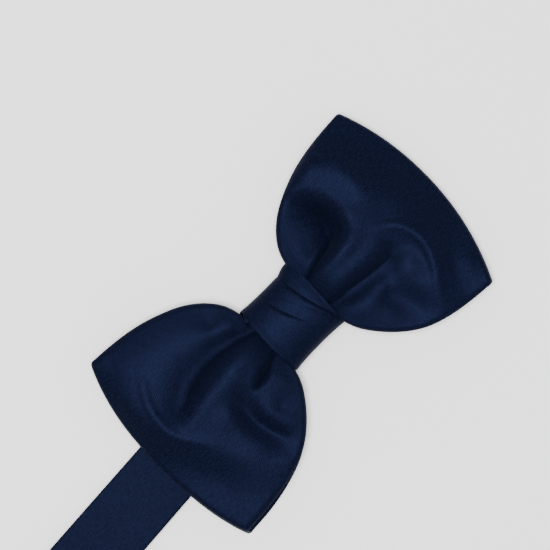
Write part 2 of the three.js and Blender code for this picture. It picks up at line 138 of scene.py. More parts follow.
def satin_material(name, light):
    """Navy satin: a shiny warp face with a fine twill line, uneven dye and a few slubs. light scales the
    base colour; below 1 it paints shade into the cloth.
    """
    material, tree, shader = new_material(name)
    nodes, link = tree.nodes, tree.links.new
    uv = nodes.new("ShaderNodeUVMap")
    uv.uv_map = CLOTH_UV

    def noise(scale, detail, stretch=(1, 1, 1)):
        mapping = nodes.new("ShaderNodeMapping")
        mapping.inputs["Scale"].default_value = stretch
        link(uv.outputs["UV"], mapping.inputs["Vector"])
        node = nodes.new("ShaderNodeTexNoise")
        set_inputs(node, Scale=scale, Detail=detail)
        link(mapping.outputs["Vector"], node.inputs["Vector"])
        return node.outputs["Fac"]

    def ramp(source, low, high):
        node = nodes.new("ShaderNodeMapRange")
        set_inputs(node, From_Min=0.3, From_Max=0.7, To_Min=low, To_Max=high)
        link(source, node.inputs["Value"])
        return node.outputs["Result"]

    def twill(angle, pitch):
        mapping = nodes.new("ShaderNodeMapping")
        mapping.inputs["Rotation"].default_value = (0, 0, math.radians(angle))
        link(uv.outputs["UV"], mapping.inputs["Vector"])
        wave = nodes.new("ShaderNodeTexWave")
        set_inputs(wave, Scale=WAVE_TURN / pitch, Distortion=0.6, Detail=2.0)
        link(mapping.outputs["Vector"], wave.inputs["Vector"])
        return wave.outputs["Fac"]

    cloud = noise(0.09, 3)
    threads = noise(1.0, 2, (0.5, 3.4, 1))
    grain = noise(2.2, 2)
    colour = nodes.new("ShaderNodeMix")
    colour.data_type = "RGBA"
    # light scales both colours; a value below 1 darkens the cloth as painted shade.
    colour.inputs["A"].default_value = (0.0030 * light, 0.0042 * light, 0.0130 * light, 1)
    colour.inputs["B"].default_value = (0.0036 * light, 0.0050 * light, 0.0156 * light, 1)
    link(ramp(cloud, 0.3, 0.7), colour.inputs["Factor"])
    streak = nodes.new("ShaderNodeMix")
    streak.data_type = "RGBA"
    streak.blend_type = "MULTIPLY"
    streak.inputs["Factor"].default_value = 1
    link(colour.outputs["Result"], streak.inputs["A"])
    shade = nodes.new("ShaderNodeCombineColor")
    both = nodes.new("ShaderNodeMath")
    both.operation = "MULTIPLY"
    link(ramp(threads, 0.7, 1.3), both.inputs[0])
    link(ramp(grain, 0.62, 1.38), both.inputs[1])
    amount = both.outputs["Value"]
    for channel in ("Red", "Green", "Blue"):
        link(amount, shade.inputs[channel])
    link(shade.outputs["Color"], streak.inputs["B"])
    link(streak.outputs["Result"], shader.inputs["Base Color"])
    link(ramp(grain, 0.45, 0.57), shader.inputs["Roughness"])
    set_inputs(shader, Metallic=0.45, Specular_IOR_Level=0.09)
    set_inputs(shader, Sheen_Weight=0.02, Sheen_Roughness=0.5)
    shader.inputs["Sheen Tint"].default_value = (0.35, 0.5, 1, 1)
    shader.inputs["Specular Tint"].default_value = (0.14, 0.18, 0.36, 1)

    height = nodes.new("ShaderNodeMath")
    height.operation = "MULTIPLY_ADD"
    link(twill(72, 0.5), height.inputs[0])
    height.inputs[1].default_value = 0.6
    link(threads, height.inputs[2])
    bump = nodes.new("ShaderNodeBump")
    set_inputs(bump, Strength=0.8, Distance=0.00005)
    link(height.outputs["Value"], bump.inputs["Height"])
    link(bump.outputs["Normal"], shader.inputs["Normal"])
    return material


def thread_material():
    material, tree, shader = new_material("navy_thread")
    nodes, link = tree.nodes, tree.links.new
    place = nodes.new("ShaderNodeTexCoord")
    wave = nodes.new("ShaderNodeTexWave")
    wave.bands_direction = "DIAGONAL"
    set_inputs(wave, Scale=900.0, Distortion=0.4)
    link(place.outputs["Object"], wave.inputs["Vector"])
    colour = nodes.new("ShaderNodeMix")
    colour.data_type = "RGBA"
    colour.inputs["A"].default_value = (0.006, 0.012, 0.035, 1)
    colour.inputs["B"].default_value = (0.020, 0.034, 0.085, 1)
    link(wave.outputs["Fac"], colour.inputs["Factor"])
    link(colour.outputs["Result"], shader.inputs["Base Color"])
    bump = nodes.new("ShaderNodeBump")
    set_inputs(bump, Strength=0.6, Distance=0.00005)
    link(wave.outputs["Fac"], bump.inputs["Height"])
    link(bump.outputs["Normal"], shader.inputs["Normal"])
    set_inputs(shader, Roughness=0.6, Sheen_Weight=0.2)
    return material


def nickel_material():
    """Bright nickel plate with rub marks and slightly dull edges."""
    material, tree, shader = new_material("nickel_plate")
    nodes, link = tree.nodes, tree.links.new
    place = nodes.new("ShaderNodeTexCoord")
    marks = nodes.new("ShaderNodeTexNoise")
    set_inputs(marks, Scale=900.0, Detail=4.0)
    cloud = nodes.new("ShaderNodeTexNoise")
    set_inputs(cloud, Scale=120.0, Detail=3.0)
    for node in (marks, cloud):
        link(place.outputs["Object"], node.inputs["Vector"])
    colour = nodes.new("ShaderNodeMix")
    colour.data_type = "RGBA"
    colour.inputs["A"].default_value = (0.50, 0.49, 0.47, 1)
    colour.inputs["B"].default_value = (0.66, 0.655, 0.64, 1)
    link(cloud.outputs["Fac"], colour.inputs["Factor"])
    link(colour.outputs["Result"], shader.inputs["Base Color"])
    rough = nodes.new("ShaderNodeMapRange")
    set_inputs(rough, From_Min=0.3, From_Max=0.7, To_Min=0.16, To_Max=0.34)
    link(marks.outputs["Fac"], rough.inputs["Value"])
    link(rough.outputs["Result"], shader.inputs["Roughness"])
    set_inputs(shader, Metallic=1.0)
    return material


satin = satin_material("navy_satin", 1.0)
# The strap's satin is the same cloth with its colour scaled to 0.78. This is painted shade: it darkens the
# flat strap, which the overhead light catches most.
strap_satin = satin_material("navy_satin_strap_painted_shade", 0.78)
thread = thread_material()
nickel = nickel_material()

# ---- Cloth bands ----

EDGE_STEPS = 5  # points round a band's rounded side edge


def normals_of(points, closed):
    """Unit normals of a grid of points, rows along the band and columns across it."""
    if closed:
        along = np.roll(points, -1, 0) - np.roll(points, 1, 0)
    else:
        along = np.gradient(points, axis=0)
    across = np.gradient(points, axis=1)
    return unit(np.cross(along, across))


def band(name, outer, thickness, material, closed=False, flip=False):
    """A closed solid band of cloth under a grid of outer points, with rounded side edges."""
    rows, columns = outer.shape[:2]
    normal = normals_of(outer, closed) * (-1 if flip else 1)
    inner = outer - normal * thickness
    radius = thickness / 2
    rings = [outer]
    for column, neighbour, downwards in ((columns - 1, columns - 2, True), (0, 1, False)):
        outward = outer[:, column] - outer[:, neighbour]
        n = normal[:, column]
        outward = unit(outward - n * np.sum(outward * n, -1, keepdims=True))
        centre = outer[:, column] - n * radius
        angles = np.linspace(0, math.pi, EDGE_STEPS + 2)[1:-1]
        if not downwards:
            angles = angles[::-1]
        side = np.stack(
            [centre + radius * (n * math.cos(a) + outward * math.sin(a)) for a in angles], 1
        )
        rings.append(side)
    loop = np.concatenate([outer, rings[1], inner[:, ::-1], rings[2]], 1)
    count = loop.shape[1]
    steps_across = np.linalg.norm(np.diff(loop, axis=1), axis=-1).mean(0)
    v = np.concatenate([[0], np.cumsum(steps_across)])
    steps_along = np.linalg.norm(np.diff(outer, axis=0), axis=-1).mean(1)
    u = np.concatenate([[0], np.cumsum(steps_along)])
    uvs = np.stack(np.broadcast_arrays(u[:, None], v[None, :]), -1)
    vertices = loop.reshape(-1, 3)
    index = np.arange(rows * count).reshape(rows, count)
    below = np.roll(index, -1, 0) if closed else index[1:]
    here = index if closed else index[:-1]
    quads = np.stack([here, np.roll(here, -1, 1), np.roll(below, -1, 1), below], -1)
    faces = quads.reshape(-1, 4).tolist()
    if not closed:
        faces.append(index[0][::-1].tolist())
        faces.append(index[-1].tolist())
    return new_object(name, vertices, faces, material, uvs.reshape(-1, 2))


# ---- The bow's folds ----
# Each wing's front leaf is a thin sheet bent over these lines. A point is (out, y, height): how far out
# from the middle of the bow, how far across, and the height of the top of the cloth above the table.
WAIST = 11.0

RIGHT_FOLDS = {
    "strip": [(12, 0.8, 10.6), (16, 1, 12.6), (20, 1, 13.5), (26, 1.2, 14), (32, 1.8, 14), (38, 3, 13.6)]
    + [(43, 4.5, 12.7)],
    "strip_top_edge": [(12, 4, 10.6), (16, 4.6, 12.6), (21, 5, 13.7), (26, 5.4, 14.2), (31, 6.4, 14.2)]
    + [(36, 8, 14), (39.5, 10.5, 13.8)],
    "strip_low_edge": [(12.2, -2.4, 10.4), (17, -3, 12.2), (23, -3.4, 13), (29, -3.8, 13.2), (35, -3.2, 13)],
    "top_lobe": [(12, 9, 10.2), (15, 12, 11.1), (18.5, 16.4, 10.7), (22, 20.4, 9.9)],
    "top_hollow": [(25, 24.8, 9), (28.6, 19.6, 8), (30, 14, 7.8), (28.8, 10, 7.9), (25, 8.8, 8.5)],
    "top_hollow_floor": [(18.5, 11.5, 10.4), (22, 13, 9.7), (25, 14, 8.9), (24.6, 19, 9.1)],
    "top_wall": [(28.2, 28, 11), (32.4, 22.4, 12), (34.2, 15.4, 12.8), (33, 10.2, 13.7)],
    "top_crescent": [(33, 29, 11.7), (37, 24, 12.7), (38.6, 17.8, 13.3), (37.6, 12.6, 13.8)],
    "top_crest": [(36.6, 30, 11.8), (41.4, 24.8, 13), (43.2, 18.4, 13.6), (42.6, 12.5, 13.7)],
    "low_fold": [(13, -4.8, 8.8), (19, -6, 9.6), (26, -7.4, 10), (33, -8.2, 10.4), (37.5, -7, 11)],
    "low_lobe": [(12, -8, 10), (16, -10.6, 11.3), (21, -11.8, 11.6), (27, -12, 11.4)],
    "low_lobe_side": [(18, -16, 10.9), (22.5, -20, 10.4)],
    "low_hollow": [(26, -15.2, 10.2), (28.4, -20, 9.4), (30, -25, 9.3)],
    "low_facet": [(34.4, -13.4, 11.9), (38, -11.4, 12.2), (39, -15.6, 12), (35.6, -21, 11.4)],
    "low_groove": [(41.6, -7.4, 12.1), (42.6, -13, 12), (40, -19.4, 11.5)],
    "low_rim": [(39.8, -0.6, 13), (43.6, -3, 12.9), (45.9, -9.6, 12.8), (44.4, -16.4, 12.4)]
    + [(40, -23, 11.6), (36, -28, 10.6)],
    "outer_zone": [(46.6, 25, 11), (49, 15, 11), (49.4, 4, 11), (51, -7, 10.4), (54.4, 15, 8.6)]
    + [(55.4, 2, 8.4), (54.8, -9, 8.4)],
    "outer_valley": [(50, -16.5, 9.5), (43.8, -26, 9.8)],
    "corner": [(51, -26, 8.9)],
}
LEFT_FOLDS = {
    "strip": [(12, 0.9, 10.6), (16, 0, 12.6), (20, -0.5, 13.5), (26, -1, 14), (33, -1.6, 13.8)]
    + [(40, -2.4, 13.4), (46, -3.2, 12.9)],
    "strip_top_edge": [(12, 3.6, 10.6), (17, 4.3, 12.7), (23, 4.6, 13.7), (31.7, 3.4, 13.8)]
    + [(39, 1.9, 13.5), (45, 0.3, 13.1)],
    "strip_low_edge": [(12.2, -1.6, 10.4), (18, -3.4, 12.6), (23, -4.4, 13)],
    "top_lobe": [(12, 9, 10.2), (15, 12, 11.4), (22, 16, 11.7), (30, 19.5, 11.9), (38, 22.5, 11.9)]
    + [(44, 26, 11.4)],
    "top_edge_dimple": [(19.2, 16.4, 10.7)],
    "bowl": [(13, 6.8, 9), (20, 8.6, 9.8), (27, 9, 10), (34, 8, 10), (40.5, 6, 10.2), (45, 4.2, 10.8)],
    "bowl_floor": [(28, 13.4, 10.9), (34, 13.4, 10.7), (40, 12.5, 10.9), (45.6, 10, 11.4)],
    "rim": [(43.5, 22.6, 11.8), (47.6, 17.6, 12.1), (50.4, 12, 12.2), (51.8, 6, 12.4), (51.5, 1, 12.5)]
    + [(49.3, -3.8, 12.6), (45.6, -9.8, 12.6), (42.2, -17, 12.2), (39.8, -22.8, 11.6), (33, -29.6, 10.4)],
    "low_lobe": [(12, -7.5, 10.2), (15.5, -11, 11.6), (20, -12.3, 11.8)],
    "low_ridge": [(25, -8.7, 12), (26.2, -14.9, 11.9), (24.6, -21.9, 10.8)],
    "low_dimple": [(22, -16.2, 11)],
    "low_hollow": [(29.6, -7, 11.2), (30.2, -12.4, 9.6), (27.8, -22.4, 9)],
    "low_facet": [(34.4, -7, 13.2), (36, -13, 12.3), (34, -20.5, 11.2), (40, -9, 13)],
    "outer_zone": [(50, 27, 10.6), (55, 18, 10.8), (57, 4, 10.2), (54.5, -8, 9.9), (49, -20, 9.9)],
}
# Narrow rolls that stand on the sheet, and slits between the pleats: (out, y, height or depth, half width).
RIGHT_ROLLS = [
    [(37.5, 1.6, 0.1, 1.4), (41.4, -0.8, 0.45, 1.3), (44.2, -4.2, 0.55, 1.2), (45.4, -10.2, 0.55, 1.2)]
    + [(43.9, -16.6, 0.5, 1.2), (39.8, -23, 0.35, 1.3), (36, -28, 0.1, 1.4)],
]
LEFT_ROLLS = [
    [(44, 22.4, 0.1, 1.4), (48, 16.8, 0.4, 1.3), (50.4, 12, 0.5, 1.2), (51.5, 6, 0.5, 1.2)]
    + [(51.1, 1, 0.5, 1.2), (48.8, -3.6, 0.4, 1.3), (44.8, -9.2, 0.1, 1.4)],
]
RIGHT_SLITS = [
    [(11.5, 5.3, 2.8, 0.6), (16, 6.2, 4.6, 1.1), (20.6, 7, 4.8, 1.5), (24.5, 7.6, 3, 1.4)]
    + [(27.2, 8.8, 1.8, 1.2)],
    [(11.5, -4.1, 2.2, 0.6), (15, -4.8, 2, 0.7), (19, -5.4, 0.9, 0.8), (26, -6.6, 0.5, 1)]
    + [(35, -7.8, 0.5, 1)],
    [(24.6, 24.6, 0.2, 1), (28.2, 20, 1, 1.3), (29.8, 14.5, 1.5, 1.3), (29, 11, 1.6, 1.3)]
    + [(27.2, 8.8, 1.6, 1.2)],
]
LEFT_SLITS = [
    [(11.4, -2.8, 2.8, 0.6), (15, -4.2, 4.4, 1), (18.5, -5.4, 4.6, 1.4), (22.8, -6.5, 1.2, 1)],
    [(11.4, 5.2, 1.4, 0.6), (18, 7.4, 0.9, 0.8), (27, 8.4, 1.2, 1.1), (35, 7.4, 1.4, 1.2)]
    + [(43, 4.8, 0.6, 1.1)],
]

# The outline of the wings, as in the frame.
RIGHT_END = {"reach": 59.9, "crown": 0.12, "pull": 7, "power": 2.1, "top": 6.9, "low_corner": 1.8}
RIGHT_REAR = {"shift": -0.4, "drop": 0.0}
LEFT_END = {"reach": 60.5, "crown": -0.1, "pull": 5.6, "power": 2.5, "top": 8.6, "low_corner": 0.2}
LEFT_REAR = {"shift": -1.8, "drop": 1.6}
WING_Y = -0.6
SHOULDER_HALF = 14.4
WAIST_HALF = 10.0
FLARE = 21.4
FLARE_LENGTH = 12.3
LIFT_FROM = 26.0
LIFT_TO = 57.0
EDGE_TOP = 9.6
EDGE_ROLL = 1.2  # width of the roll along the side edges
EDGE_DROP = 0.7
END_ROLL = 0.8  # how far the fold at a wing's end reaches past its flat part
REAR_OUTSIDE = bow_low[2] + 0.05
REAR_END_OUTSIDE = REAR_OUTSIDE - 0.1
CLOTH = 1.0
SHEET_GIVE = 2.0  # how freely the bent sheet may miss its lines


def half_height(x):
    """Half the wing's width, x out from the middle of the bow."""
    out = np.maximum(np.asarray(x, float) - WAIST, 0)
    shoulder = SHOULDER_HALF - (SHOULDER_HALF - WAIST_HALF) * np.exp(-out / 0.8)
    return shoulder + FLARE * (1 - np.exp(-out / FLARE_LENGTH))


def middle_y(x):
    """The wing's middle line, which drifts off the knot's."""
    return KNOT_Y + (WING_Y - KNOT_Y) * smoothstep(WAIST, 30, x)


def end_out(end, v):
    """How far out the wing's flat part goes before it turns over, at v = -1..1 across it."""
    return end["reach"] - END_ROLL - end["pull"] * np.abs(v - end["crown"]) ** end["power"]


def rear_outside(x):
    """The height of the lowest face of the rear leaf."""
    return REAR_OUTSIDE + (REAR_END_OUTSIDE - REAR_OUTSIDE) * smoothstep(LIFT_FROM, LIFT_TO, x)


def thin_sheet(points):
    """The height of the thin sheet bent over points (x, y, height), as a function of x and y."""
    p = np.array(points, float)

    def kernel(d2):
        return 0.5 * d2 * np.log(np.maximum(d2, 1e-9))

    n = len(p)
    d2 = ((p[:, None, :2] - p[None, :, :2]) ** 2).sum(-1)
    a = np.zeros((n + 3, n + 3))
    a[:n, :n] = kernel(d2) + SHEET_GIVE * np.eye(n)
    a[:n, n] = a[n, :n] = 1
    a[:n, n + 1 :] = p[:, :2]
    a[n + 1 :, :n] = p[:, :2].T
    w = np.linalg.solve(a, np.concatenate([p[:, 2], np.zeros(3)]))

    def height(x, y):
        d2 = (x[..., None] - p[:, 0]) ** 2 + (y[..., None] - p[:, 1]) ** 2
        return kernel(d2) @ w[:n] + w[n] + w[n + 1] * x + w[n + 2] * y

    return height


def outline_points(end):
    """The sheet's own border: the top of the cloth along the side edges and the end."""
    out = []
    for x in np.arange(12, 52, 3.0):
        top = EDGE_TOP + (end["top"] + 0.4 - EDGE_TOP) * smoothstep(30, 54, x)
        for side in (-1, 1):
            low_side = end["low_corner"] * smoothstep(40, 52, x) if side < 0 else 0
            out.append((x, middle_y(x) + side * half_height(x), top + low_side))
    for v in np.linspace(-1, 1, 17):
        x = end_out(end, v)
        top = end["top"] + end["low_corner"] * smoothstep(0.5, 1, -v)
        out.append((x, middle_y(x) + v * half_height(x), top))
    return out


def along_lines(lines, x, y):
    """How far the slits or the rolls move the sheet at each point."""
    total = np.zeros_like(x)
    for line in lines:
        p = spline_through(line, 0.5)
        for a, b in zip(p[:-1], p[1:]):
            d = b[:2] - a[:2]
            t = np.clip(((x - a[0]) * d[0] + (y - a[1]) * d[1]) / (d @ d), 0, 1)
            near = np.hypot(x - a[0] - t * d[0], y - a[1] - t * d[1])
            depth = a[2] + t * (b[2] - a[2])
            width = a[3] + t * (b[3] - a[3])
            total = np.maximum(total, depth * np.exp(-((near / width) ** 2)))
    return total


INSIDE_KNOT = (1.0, 4.0, 7.0, 9.0, 10.2)  # how far out the rows under the knot are
INSIDE_TOP = 10.8
FRONT_ROWS = 110
FOLD_ROWS = 9
REAR_ROWS = 60
COLUMNS = 141


def front_leaf(end, folds, slits, rolls):
    """The top of a wing's front leaf from the middle of the knot outwards, as (out, y, height)."""
    points = outline_points(end)
    for line in folds.values():
        points.extend(spline_through(line, 3.0) if len(line) > 1 else line)
    sheet = thin_sheet(points)
    v = np.linspace(-1, 1, COLUMNS)[None, :]
    share = np.linspace(0, 1, FRONT_ROWS)[:, None] ** 1.15
    reach = end_out(end, v)
    x = WAIST + (reach - WAIST) * share
    y = middle_y(x) + v * (half_height(x) - CLOTH / 2)
    z = sheet(x, y) - along_lines(slits, x, y) + along_lines(rolls, x, y)
    from_edge = (half_height(x) - CLOTH / 2) * (1 - np.abs(v))
    roll = 1 - np.clip(from_edge / EDGE_ROLL, 0, 1)
    z -= EDGE_DROP * (1 - np.sqrt(1 - 0.98 * roll**2))
    floor = rear_outside(x) + 2 * CLOTH + 0.15
    z = floor + np.logaddexp(0, (z - floor) * 3) / 3
    return np.stack(np.broadcast_arrays(x, y, z), -1)


def smooth_rows(z, times):
    """The heights with each inner point averaged with its four neighbours, times over."""
    for _ in range(times):
        z[1:-1, 1:-1] = (
            4 * z[1:-1, 1:-1] + z[:-2, 1:-1] + z[2:, 1:-1] + z[1:-1, :-2] + z[1:-1, 2:]
        ) / 8
    return z


def wing(side, end, rear_leaf, folds, slits, rolls):
    """Outer points of one wing, from the middle of the knot's front out, round and back behind."""
    front = front_leaf(end, folds, slits, rolls)
    front[..., 2] = smooth_rows(front[..., 2], 2)
    v = np.linspace(-1, 1, COLUMNS)
    reach = end_out(end, v)
    start = front[0]
    inside = []
    for x in INSIDE_KNOT:
        row = start.copy()
        row[:, 0] = x
        row[:, 2] = np.minimum(row[:, 2], INSIDE_TOP)
        inside.append(row)
    rear_share = np.linspace(1, 0, REAR_ROWS)[:, None]
    x = INSIDE_KNOT[0] + (reach - INSIDE_KNOT[0]) * rear_share
    y = middle_y(x) + v * (half_height(x) - CLOTH / 2) + rear_leaf["shift"] * smoothstep(14, 50, x)
    gather = 0.3 * np.cos(3.5 * math.pi * v) * (1 - smoothstep(WAIST, 40, x)) * (1 - v**4)
    z = rear_outside(x) + 0.3 + gather + 0.25 * np.sin(x / 9 + 2 * v) * smoothstep(20, 35, x)
    z = z - rear_leaf["drop"] * smoothstep(0.9, 1, -v) * smoothstep(25, 40, x)
    rear = np.stack(np.broadcast_arrays(x, y, z), -1)
    top, bottom = front[-1], rear[0]
    angles = np.linspace(0, math.pi, FOLD_ROWS + 2)[1:-1]
    fold = []
    for a in angles:
        t = (1 - math.cos(a)) / 2
        row = top * (1 - t) + bottom * t
        row[:, 0] = top[:, 0] + END_ROLL * math.sin(a)
        fold.append(row)
    points = np.concatenate([np.stack(inside), front, np.stack(fold), rear])
    points[..., 0] *= side
    return points


right = wing(1, RIGHT_END, RIGHT_REAR, RIGHT_FOLDS, RIGHT_SLITS, RIGHT_ROLLS)
left = wing(-1, LEFT_END, LEFT_REAR, LEFT_FOLDS, LEFT_SLITS, LEFT_ROLLS)
bow_points = np.concatenate([right[::-1], left])
bow = band("bow_cloth", bow_points, CLOTH, satin)
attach(bow, "tie")
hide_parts("bow_satin", "bow_interlining")

# ---- The knot ----
KNOT_CLOTH = 0.9
KNOT_ROWS = 160
KNOT_COLUMNS = 120
KNOT_MIDDLE_Y = 0.5
KNOT_HALF_Y = 11.3


def knot_points():
    """The outside of the wrap: rows round the bow, columns along it.

    lean is -1..1 across the knot. The main fold and the crease are slanting curves x(lean) on its front.
    """
    turn = np.linspace(0, 2 * math.pi, KNOT_ROWS, endpoint=False)[:, None]
    share = np.linspace(-1, 1, KNOT_COLUMNS)[None, :]
    c, s = np.cos(turn), np.sin(turn)
    front = smoothstep(-0.6, 0.3, s)
    power = np.where(s > 0, 2.35, 5.0)
    size = (np.abs(c) ** power + np.abs(s) ** power) ** (-1 / power)
    lean = size * c
    left_edge = -11.0 + 0.35 * lean + lean**2
    right_edge = 11.7 + 0.7 * lean
    behind = KNOT_HALF_LENGTH
    left_edge = left_edge * front - behind * (1 - front) + KNOT_CLOTH / 2
    right_edge = right_edge * front + behind * (1 - front) - KNOT_CLOTH / 2
    x = (left_edge + right_edge) / 2 + share * (right_edge - left_edge) / 2
    main_fold = 7.05 - 2.7 * lean + lean**2
    step = smoothstep(-0.22, 0.22, main_fold - x)
    raised = 0.75 * step + 0.18 * np.exp(-(((x - main_fold + 1.1) / 0.9) ** 2))
    crease_line = 0.55 - 5.3 * lean + 2.5 * lean**2
    crease_depth = 0.5 * smoothstep(-0.9, 0.3, lean)
    crease = -0.5 * crease_depth * np.exp(-(((x - crease_line) / 0.5) ** 2))
    crease += crease_depth * smoothstep(-0.9, 0.9, crease_line - x)
    tuck = -0.35 * np.exp(-(((x - main_fold + 1.9 + 1.2 * lean) / 0.7) ** 2))
    tuck = tuck * smoothstep(0.1, -0.5, lean)
    crown = 0.45 * (1 - share**2) - 0.3 * smoothstep(0.75, 1, np.abs(share))
    lift = front * (raised + crease + tuck) + crown
    half_z = (knot_high[2] - knot_low[2]) / 2 - 0.9
    centre_z = (knot_low[2] + knot_high[2]) / 2 - 0.15
    z = centre_z + half_z * size * s + lift * np.clip(size * s, -0.4, 1)
    flare = 0.5 * np.abs(share) ** 2.5 - 0.2
    side_step = 1.1 * smoothstep(5.0, 9.5, x) * smoothstep(0.5, 1, lean)
    fold_step = 0.25 * step * smoothstep(0.5, 1, lean)
    y = KNOT_MIDDLE_Y + (KNOT_HALF_Y + flare) * lean + (side_step + fold_step) * front
    return np.stack(np.broadcast_arrays(x, y, z), -1)


knot = band("knot_wrap", knot_points(), KNOT_CLOTH, satin, closed=True, flip=True)
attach(knot, "tie")
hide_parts("knot_satin", "knot_interlining")

# ---- The neck strap ----
STRAP_CLOTH = 1.0
STRAP_SPARE = 0.12  # what the strap is thinner than its CAD solid
STRAP_LIFT = (STRAP_CLOTH - STRAP_SPARE) / 2
STRAP_HALF = 11.1
STRAP_HALF_IN_KNOT = 9.8
SKEW = 0.0629
SKEW_OFFSET = -1.46
SKEW_FROM = -8
SKEW_TO = -55
LOWER_Z = 0.5
UPPER_Z = 3.15
RIGHT_FOLD = 40.0
LEFT_FOLD = -206.0
CLASP_Z = 3.325
EYE_BAR = -118.0
HOOK_BAR = -141.0
SLIDE_BAR = -168.0
SLIDE_BAR_Z = 2.75
EYE_LOOP = 1.4
HOOK_LOOP = 1.675
OUTER_Z = CLASP_Z + HOOK_LOOP
RETURN_Z = CLASP_Z - HOOK_LOOP
TAIL_LOOP = SLIDE_BAR_Z - RETURN_Z
TAIL_TOP_Z = RETURN_Z + STRAP_CLOTH + 0.15

skew_angle = math.atan(SKEW)
skew_start = np.array([SKEW_TO, SKEW_OFFSET + SKEW * SKEW_TO])


def plan(a):
    """The strap's middle line seen from above, and its direction, at the place a along it."""
    if a <= SKEW_TO:
        direction = np.array([math.cos(skew_angle), math.sin(skew_angle)])
        return skew_start + direction * (a - SKEW_TO), skew_angle

    def y_at(x):
        share = float(smoothstep(-SKEW_FROM, -SKEW_TO, -x))
        return KNOT_Y * (1 - share) + share * (SKEW_OFFSET + SKEW * x)

    return np.array([a, y_at(a)]), math.atan((y_at(a + 0.1) - y_at(a - 0.1)) / 0.2)


def on_strap(a, w, z):
    """A point w across the strap at the place a along it."""
    (x, y), angle = plan(a)
    return Vector((x - w * math.sin(angle), y + w * math.cos(angle), z)) * MM


def arc(a, z, radius, start, end, count=14):
    angles = np.radians(np.linspace(start, end, count + 1))
    return [(a + radius * math.cos(t), z + radius * math.sin(t)) for t in angles]


def run_between(path, step):
    """path with points no further apart than step."""
    out = [path[0]]
    for (a0, z0), (a1, z1) in zip(path[:-1], path[1:]):
        count = max(1, math.ceil(math.hypot(a1 - a0, z1 - z0) / step))
        for k in range(1, count + 1):
            out.append((a0 + (a1 - a0) * k / count, z0 + (z1 - z0) * k / count))
    return out


STRAP_COLUMNS = 25


def strap_points(path):
    """The outside of a strap that follows path, a list of (along, height)."""
    fine = run_between(path, 1.5)
    across = np.linspace(-1, 1, STRAP_COLUMNS)
    rows = []
    for i, (a, z) in enumerate(fine):
        before, after = fine[max(i - 1, 0)], fine[min(i + 1, len(fine) - 1)]
        da, dz = after[0] - before[0], after[1] - before[1]
        length = math.hypot(da, dz)
        (x, y), angle = plan(a)
        forward = np.array([math.cos(angle), math.sin(angle), 0])
        side = np.array([-forward[1], forward[0], 0])
        up = forward * (-dz / length) + np.array([0, 0, da / length])
        in_knot = 1 - float(smoothstep(11, 24, abs(a))) if abs(z - UPPER_Z) < 0.01 else 0.0
        half = STRAP_HALF + (STRAP_HALF_IN_KNOT - STRAP_HALF) * in_knot - STRAP_CLOTH / 2
        half += 0.12 * math.sin(a / 23)
        middle = np.array([x, y, z])
        rows.append(middle + np.outer(across * half, side) + STRAP_LIFT * up)
    return np.stack(rows)


def strap_piece(name, path, body, nodes):
    points = strap_points(path)
    obj = band(name, points, STRAP_CLOTH - STRAP_SPARE, strap_satin)
    if body:
        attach(obj, body)
    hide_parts(*nodes)
    return obj


right_radius = (UPPER_Z - LOWER_Z) / 2
left_radius = (OUTER_Z - LOWER_Z) / 2
strap_path = [
    (-106.0, CLASP_Z - EYE_LOOP),
    *arc(EYE_BAR - 0.5, CLASP_Z, EYE_LOOP, -90, -270),
    (EYE_BAR + 7, UPPER_Z),
    (SKEW_TO, UPPER_Z),
    (RIGHT_FOLD / 2, UPPER_Z),
    *arc(RIGHT_FOLD, LOWER_Z + right_radius, right_radius, 90, -90),
    (SKEW_TO, LOWER_Z),
    *arc(LEFT_FOLD, LOWER_Z + left_radius, left_radius, -90, -270),
    *arc(HOOK_BAR + 0.5, CLASP_Z, HOOK_LOOP, 90, -90),
    (-143.0, RETURN_Z),
]
strap = strap_piece("neck_strap", strap_path, "tie", ["strap_satin", "strap_interlining"])

RETURN_FROM = -143.1
RETURN_TO = -155.2
strap_return = strap_piece(
    "strap_return",
    [(RETURN_FROM, RETURN_Z), (RETURN_TO, RETURN_Z)],
    None,
    ["strap_return_satin", "strap_return_interlining"],
)
on_strap(RETURN_FROM, 0, RETURN_Z)
on_strap(RETURN_TO, 0, RETURN_Z)
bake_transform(strap_return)
tail_path = [
    (RETURN_TO - 0.1, RETURN_Z),
    *arc(SLIDE_BAR - 0.5, SLIDE_BAR_Z, TAIL_LOOP, -90, -270),
    (SLIDE_BAR + 1.5, SLIDE_BAR_Z + TAIL_LOOP),
    (SLIDE_BAR + 5.5, TAIL_TOP_Z),
    (-157.0, TAIL_TOP_Z),
]
tail = strap_piece("strap_tail", tail_path, "slider", ["strap_tail_satin", "strap_tail_interlining"])

# ---- Stitches ----


def stitch(points, radius, sides=6):
    """A round thread through points, as vertices and faces, with closed ends."""
    p = np.array(points, float)
    forward = unit(np.gradient(p, axis=0))
    side = unit(np.cross(forward, np.array([0, 0, 1.0]) + 1e-6))
    up = np.cross(side, forward)
    angles = np.linspace(0, 2 * math.pi, sides, endpoint=False)
    ring = [p + radius * (side * math.cos(a) + up * math.sin(a)) for a in angles]
    vertices = np.stack(ring, 1).reshape(-1, 3)
    index = np.arange(len(p) * sides).reshape(len(p), sides)
    here, there = index[:-1], index[1:]
    quads = np.stack([here, np.roll(here, -1, 1), np.roll(there, -1, 1), there], -1)
    faces = quads.reshape(-1, 4).tolist()
    faces.append(index[0][::-1].tolist())
    faces.append(index[-1].tolist())
    return vertices, faces


def stitch_row(name, places, radius, body, node):
    """One object of separate stitches, each given as its list of points."""
    vertices, faces = [], []
    for points in places:
        v, f = stitch(points, radius)
        base = sum(len(x) for x in vertices)
        vertices.append(v)
        faces.extend([[i + base for i in face] for face in f])
    obj = new_object(name, np.vstack(vertices), faces, thread)
    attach(obj, body)
    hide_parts(node)
    return obj


